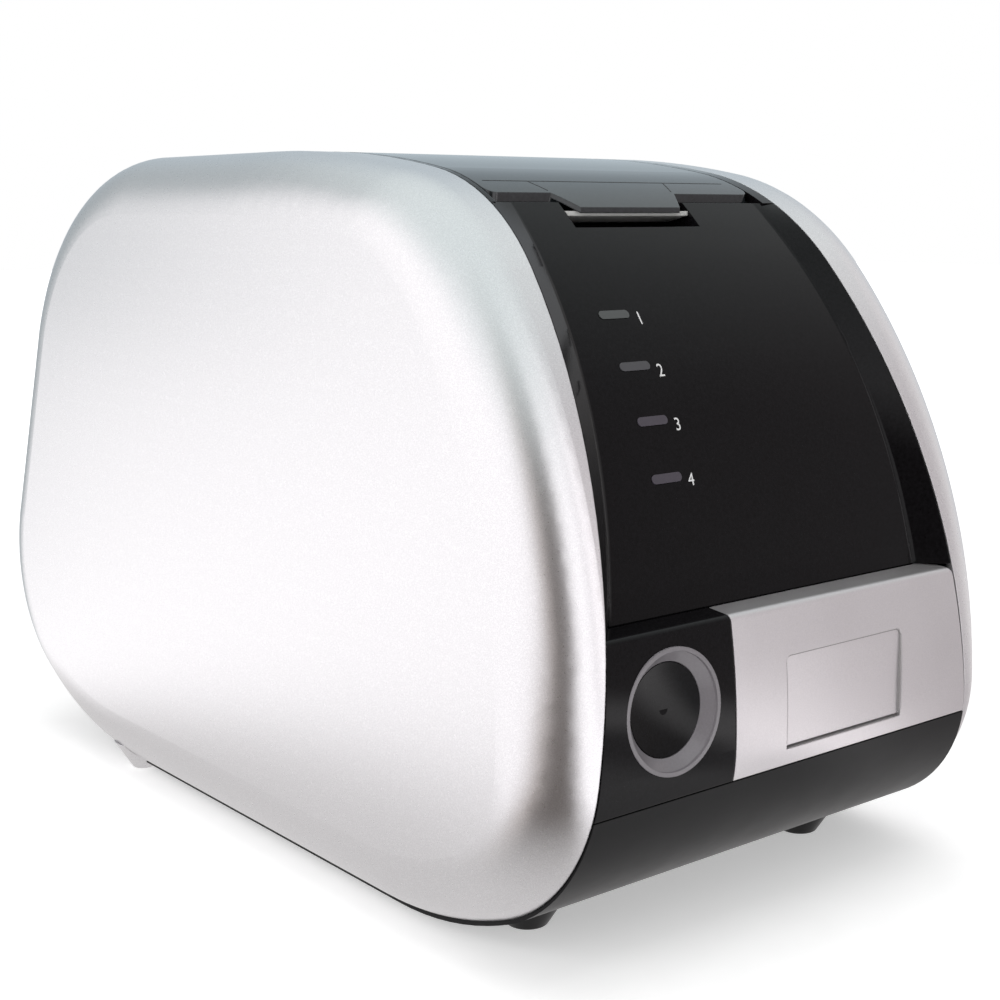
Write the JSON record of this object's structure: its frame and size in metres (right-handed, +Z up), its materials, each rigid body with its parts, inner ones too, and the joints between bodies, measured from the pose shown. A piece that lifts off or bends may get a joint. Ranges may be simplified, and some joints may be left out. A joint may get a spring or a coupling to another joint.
{
  "type": "phosphor plate scanner",
  "caption": "Desktop scanner for dental phosphor plates: pearl side shells, a black front with status lamps, a feed slot under a smoked hinged cover, a power button and a plate drawer.",
  "frame": {"origin": "middle of the footprint, on the table under the feet", "axes": "+X to the right seen from the front, -Y out of the front, +Z up"},
  "size_m": [0.2228, 0.3939, 0.2563],
  "materials": {
    "pearl": "satin",
    "gloss_black": "polished",
    "satin_black": "satin",
    "smoked": "polished",
    "silver_front": "satin",
    "guide_white": "matte",
    "light_pipe": "satin",
    "ring": "satin",
    "steel": "satin",
    "alu": "satin",
    "brass": "satin",
    "rubber": "matte",
    "board": "satin",
    "inner_plastic": "matte",
    "mirror": "polished",
    "clear": "polished"
  },
  "bodies": {
    "housing": {"base_cover": "satin_black", "base_screws": "steel", "board_screws": "steel", "button_board": "board", "button_plate": "gloss_black", "button_ring": "ring", "chassis_plate": "steel", "data_port": "inner_plastic", "detector_tube": "inner_plastic", "drawer_runner": "steel", "erase_lamp_board": "board", "exit_chute": "steel", "fan_housing": "inner_plastic", "fan_screws": "steel", "feed_guide": "guide_white", "front_cover": "gloss_black", "front_feet": "satin_black", "heatsink": "alu", "hinge_pins": "steel", "indicator_board": "board", "inner_guide": "steel", "laser_module": "brass", "left_frame_plate": "steel", "left_side_cover": "pearl", "light_collector": "clear", "main_board": "board", "mirror_motor": "steel", "optical_bench": "alu", "outer_guide": "steel", "power_inlet": "inner_plastic", "power_supply": "steel", "rear_feet": "pearl", "rear_panel": "satin_black", "right_frame_plate": "steel", "right_side_cover": "pearl", "scan_lens": "clear", "scan_platen": "inner_plastic", "shaft_bushes": "brass", "side_cover_screws": "steel", "status_light_pipes": "light_pipe", "stepper_motor": "inner_plastic", "switch_frame": "inner_plastic", "timing_belt": "rubber", "tube_bracket": "alu"},
    "lid": {"top_cover": "smoked"},
    "drawer": {"output_drawer": "silver_front"},
    "button": {"power_button": "gloss_black"},
    "rocker": {"power_rocker": "inner_plastic"},
    "motor_rotor": {"motor_pulley": "steel"},
    "feed_drive": {"feed_shaft": "steel", "feed_sleeve": "rubber"},
    "scan_drive": {"scan_shaft": "steel", "scan_sleeve": "rubber"},
    "exit_drive": {"exit_shaft": "steel", "exit_sleeve": "rubber"},
    "feed_pinch": {"feed_pinch_roller": "alu"},
    "scan_pinch": {"scan_pinch_roller": "alu"},
    "exit_pinch": {"exit_pinch_roller": "alu"},
    "mirror": {"scan_mirror": "mirror"},
    "fan": {"fan_rotor": "inner_plastic"}
  },
  "joints": [
    {"name": "lid_hinge", "type": "hinge", "parent": "housing", "child": "lid", "pos_m": [0, 0.08246, 0.25229], "axis": [-1, 0, 0], "range_deg": [0, 70]},
    {"name": "drawer_slide", "type": "slide", "parent": "housing", "child": "drawer", "axis": [0, -1, 0], "range_m": [0, 0.07]},
    {"name": "button_press", "type": "slide", "parent": "housing", "child": "button", "axis": [0, 0.9972, -0.0743], "range_m": [0, 0.0015], "stiffness_N_per_m": 400},
    {"name": "rocker_tilt", "type": "hinge", "parent": "housing", "child": "rocker", "pos_m": [-0.04, 0.18139, 0.15176], "axis": [1, 0, 0], "range_deg": [0, 16]},
    {"name": "motor_turn", "type": "hinge", "parent": "housing", "child": "motor_rotor", "pos_m": [0, -0.08354, 0.168], "axis": [-1, 0, 0], "continuous": true},
    {"name": "feed_drive_turn", "type": "hinge", "parent": "housing", "child": "feed_drive", "pos_m": [0, -0.08454, 0.2229], "axis": [-1, 0, 0], "continuous": true},
    {"name": "scan_drive_turn", "type": "hinge", "parent": "housing", "child": "scan_drive", "pos_m": [0, -0.03374, 0.158], "axis": [-1, 0, 0], "continuous": true},
    {"name": "exit_drive_turn", "type": "hinge", "parent": "housing", "child": "exit_drive", "pos_m": [0, -0.03374, 0.116], "axis": [-1, 0, 0], "continuous": true},
    {"name": "feed_pinch_turn", "type": "hinge", "parent": "housing", "child": "feed_pinch", "pos_m": [0, -0.08454, 0.2363], "axis": [-1, 0, 0], "continuous": true},
    {"name": "scan_pinch_turn", "type": "hinge", "parent": "housing", "child": "scan_pinch", "pos_m": [0, -0.02034, 0.158], "axis": [-1, 0, 0], "continuous": true},
    {"name": "exit_pinch_turn", "type": "hinge", "parent": "housing", "child": "exit_pinch", "pos_m": [0, -0.02034, 0.116], "axis": [-1, 0, 0], "continuous": true},
    {"name": "mirror_spin", "type": "hinge", "parent": "housing", "child": "mirror", "pos_m": [-0.008, 0.07546, 0.138], "axis": [0, 0, 1], "continuous": true},
    {"name": "fan_spin", "type": "hinge", "parent": "housing", "child": "fan", "pos_m": [0.036, 0.17553, 0.13757], "axis": [0, 0.9707, 0.2402], "continuous": true}
  ],
  "couplings": [
    {"joint": "feed_drive_turn", "follows": "motor_turn", "ratio": 1},
    {"joint": "scan_drive_turn", "follows": "motor_turn", "ratio": 1},
    {"joint": "exit_drive_turn", "follows": "motor_turn", "ratio": 1},
    {"joint": "feed_pinch_turn", "follows": "motor_turn", "ratio": -1.1667},
    {"joint": "scan_pinch_turn", "follows": "motor_turn", "ratio": -1.1667},
    {"joint": "exit_pinch_turn", "follows": "motor_turn", "ratio": -1.1667}
  ]
}
